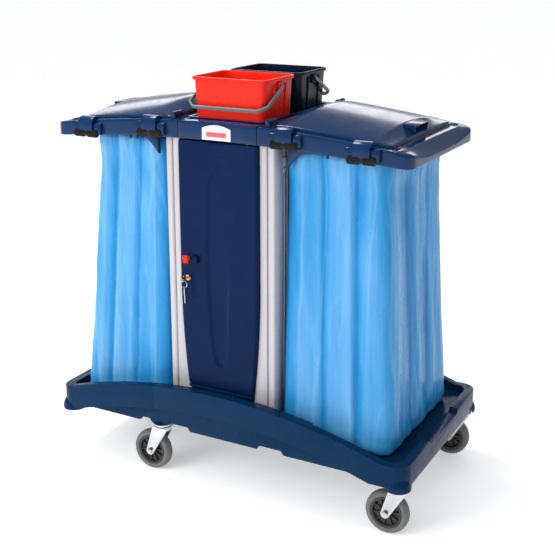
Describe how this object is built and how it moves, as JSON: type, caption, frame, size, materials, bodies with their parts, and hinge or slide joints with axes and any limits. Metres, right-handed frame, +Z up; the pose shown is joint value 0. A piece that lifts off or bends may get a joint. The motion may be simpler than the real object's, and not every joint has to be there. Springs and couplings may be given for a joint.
{
  "type": "housekeeping cart",
  "caption": "Housekeeping cart on swivel castors with an arched platform, a central locker, a lidded bag frame on each side and buckets in a tray on top.",
  "frame": {"origin": "on the floor, under the middle of the whole cart's length and depth", "axes": "+X along the cart to the viewer's right when facing the locker door, +Y to the rear, +Z up"},
  "size_m": [1.1628, 0.6256, 1.2],
  "materials": {
    "navy_gloss": "glossy moulded navy plastic",
    "navy_door": "smooth navy plastic",
    "grey_column": "satin light grey",
    "black_plastic": "satin black",
    "black_rubber": "matt black rubber",
    "zinc_steel": "bright zinc plate",
    "brass": "polished",
    "red_plastic": "glossy red plastic",
    "grey_bail": "satin grey",
    "white_badge": "plain white",
    "blue_film": "thin translucent sky blue film",
    "tyre_grey": "grey rubber tread",
    "hub_grey": "dark grey"
  },
  "bodies": {
    "cart": {"main_platform": "navy_gloss", "left_platform": "navy_gloss", "corner_bumpers": "navy_gloss", "platform_bolts": "zinc_steel", "castor_heads": "zinc_steel", "column_front_left": "grey_column", "column_front_right": "grey_column", "column_rear_left": "grey_column", "column_rear_right": "grey_column", "side_panel_left": "grey_column", "side_panel_right": "grey_column", "back_panel": "grey_column", "cabinet_floor": "navy_gloss", "cabinet_shelves": "grey_column", "door_pins": "zinc_steel", "top_frame_centre": "navy_gloss", "top_frame_left": "navy_gloss", "top_frame_right": "navy_gloss", "gussets": "navy_gloss", "badge_plate": "white_badge", "clip_brackets": "black_plastic", "clip_grips": "black_rubber", "frame_screws": "zinc_steel", "lid_hinge_pins": "zinc_steel", "bag_rings": "zinc_steel", "bag_left": "blue_film", "bag_right": "blue_film", "centre_tray": "navy_gloss"},
    "swivel_1": {"castor_fork_1": "zinc_steel", "castor_axle_1": "zinc_steel"},
    "wheel_1": {"castor_tyre_1": "tyre_grey", "castor_hub_1": "hub_grey"},
    "swivel_2": {"castor_fork_2": "zinc_steel", "castor_axle_2": "zinc_steel"},
    "wheel_2": {"castor_tyre_2": "tyre_grey", "castor_hub_2": "hub_grey"},
    "swivel_3": {"castor_fork_3": "zinc_steel", "castor_axle_3": "zinc_steel"},
    "wheel_3": {"castor_tyre_3": "tyre_grey", "castor_hub_3": "hub_grey"},
    "swivel_4": {"castor_fork_4": "zinc_steel", "castor_axle_4": "zinc_steel"},
    "wheel_4": {"castor_tyre_4": "tyre_grey", "castor_hub_4": "hub_grey"},
    "swivel_5": {"castor_fork_5": "zinc_steel", "castor_axle_5": "zinc_steel"},
    "wheel_5": {"castor_tyre_5": "tyre_grey", "castor_hub_5": "hub_grey"},
    "lid_left": {"lid_left": "navy_gloss"},
    "lid_right": {"lid_right": "navy_gloss"},
    "door": {"door": "navy_door"},
    "latch": {"latch_knob": "red_plastic", "latch_cam": "zinc_steel"},
    "lock": {"lock_cylinder": "brass", "key": "zinc_steel", "key_ring": "zinc_steel"},
    "red_bucket": {"red_bucket": "red_plastic"},
    "red_bail": {"red_bail": "grey_bail"},
    "navy_bucket": {"navy_bucket": "navy_gloss"},
    "navy_bail": {"navy_bail": "grey_bail"}
  },
  "joints": [
    {"name": "swivel_1_turn", "type": "hinge", "parent": "cart", "child": "swivel_1", "pos_m": [0.546, -0.258, 0.15], "axis": [0, 0, 1], "continuous": true},
    {"name": "wheel_1_roll", "type": "hinge", "parent": "swivel_1", "child": "wheel_1", "pos_m": [0.51, -0.258, 0.0625], "axis": [0, 1, 0], "continuous": true},
    {"name": "swivel_2_turn", "type": "hinge", "parent": "cart", "child": "swivel_2", "pos_m": [0.546, 0.258, 0.15], "axis": [0, 0, 1], "continuous": true},
    {"name": "wheel_2_roll", "type": "hinge", "parent": "swivel_2", "child": "wheel_2", "pos_m": [0.51, 0.258, 0.0625], "axis": [0, 1, 0], "continuous": true},
    {"name": "swivel_3_turn", "type": "hinge", "parent": "cart", "child": "swivel_3", "pos_m": [-0.224, -0.258, 0.15], "axis": [0, 0, 1], "continuous": true},
    {"name": "wheel_3_roll", "type": "hinge", "parent": "swivel_3", "child": "wheel_3", "pos_m": [-0.26, -0.258, 0.0625], "axis": [0, 1, 0], "continuous": true},
    {"name": "swivel_4_turn", "type": "hinge", "parent": "cart", "child": "swivel_4", "pos_m": [-0.224, 0.258, 0.15], "axis": [0, 0, 1], "continuous": true},
    {"name": "wheel_4_roll", "type": "hinge", "parent": "swivel_4", "child": "wheel_4", "pos_m": [-0.26, 0.258, 0.0625], "axis": [0, 1, 0], "continuous": true},
    {"name": "swivel_5_turn", "type": "hinge", "parent": "cart", "child": "swivel_5", "pos_m": [-0.464, 0, 0.15], "axis": [0, 0, 1], "continuous": true},
    {"name": "wheel_5_roll", "type": "hinge", "parent": "swivel_5", "child": "wheel_5", "pos_m": [-0.49237, 0.02216, 0.0625], "axis": [0.6157, 0.788, 0], "continuous": true},
    {"name": "lid_left_hinge", "type": "hinge", "parent": "cart", "child": "lid_left", "pos_m": [-0.17, 0, 1.097], "axis": [0, 1, 0], "range_deg": [0, 84]},
    {"name": "lid_right_hinge", "type": "hinge", "parent": "cart", "child": "lid_right", "pos_m": [0.13, 0, 1.097], "axis": [0, -1, 0], "range_deg": [0, 84]},
    {"name": "door_hinge", "type": "hinge", "parent": "cart", "child": "door", "pos_m": [0.072, -0.247, 0.667], "axis": [0, 0, 1], "range_deg": [0, 110]},
    {"name": "latch_turn", "type": "hinge", "parent": "door", "child": "latch", "pos_m": [-0.116, -0.247, 0.692], "axis": [0, 1, 0], "range_deg": [0, 90]},
    {"name": "lock_turn", "type": "hinge", "parent": "door", "child": "lock", "pos_m": [-0.119, -0.247, 0.634], "axis": [0, 1, 0], "range_deg": [0, 90]},
    {"name": "red_bucket_lift", "type": "slide", "parent": "cart", "child": "red_bucket", "axis": [0, 0, 1], "range_m": [0, 0.35]},
    {"name": "red_bail_swing", "type": "hinge", "parent": "red_bucket", "child": "red_bail", "pos_m": [-0.02, -0.105, 1.176], "axis": [-1, 0, 0], "range_deg": [0, 165]},
    {"name": "navy_bucket_lift", "type": "slide", "parent": "cart", "child": "navy_bucket", "axis": [0, 0, 1], "range_m": [0, 0.35]},
    {"name": "navy_bail_swing", "type": "hinge", "parent": "navy_bucket", "child": "navy_bail", "pos_m": [-0.02, 0.105, 1.176], "axis": [1, 0, 0], "range_deg": [0, 165]}
  ]
}
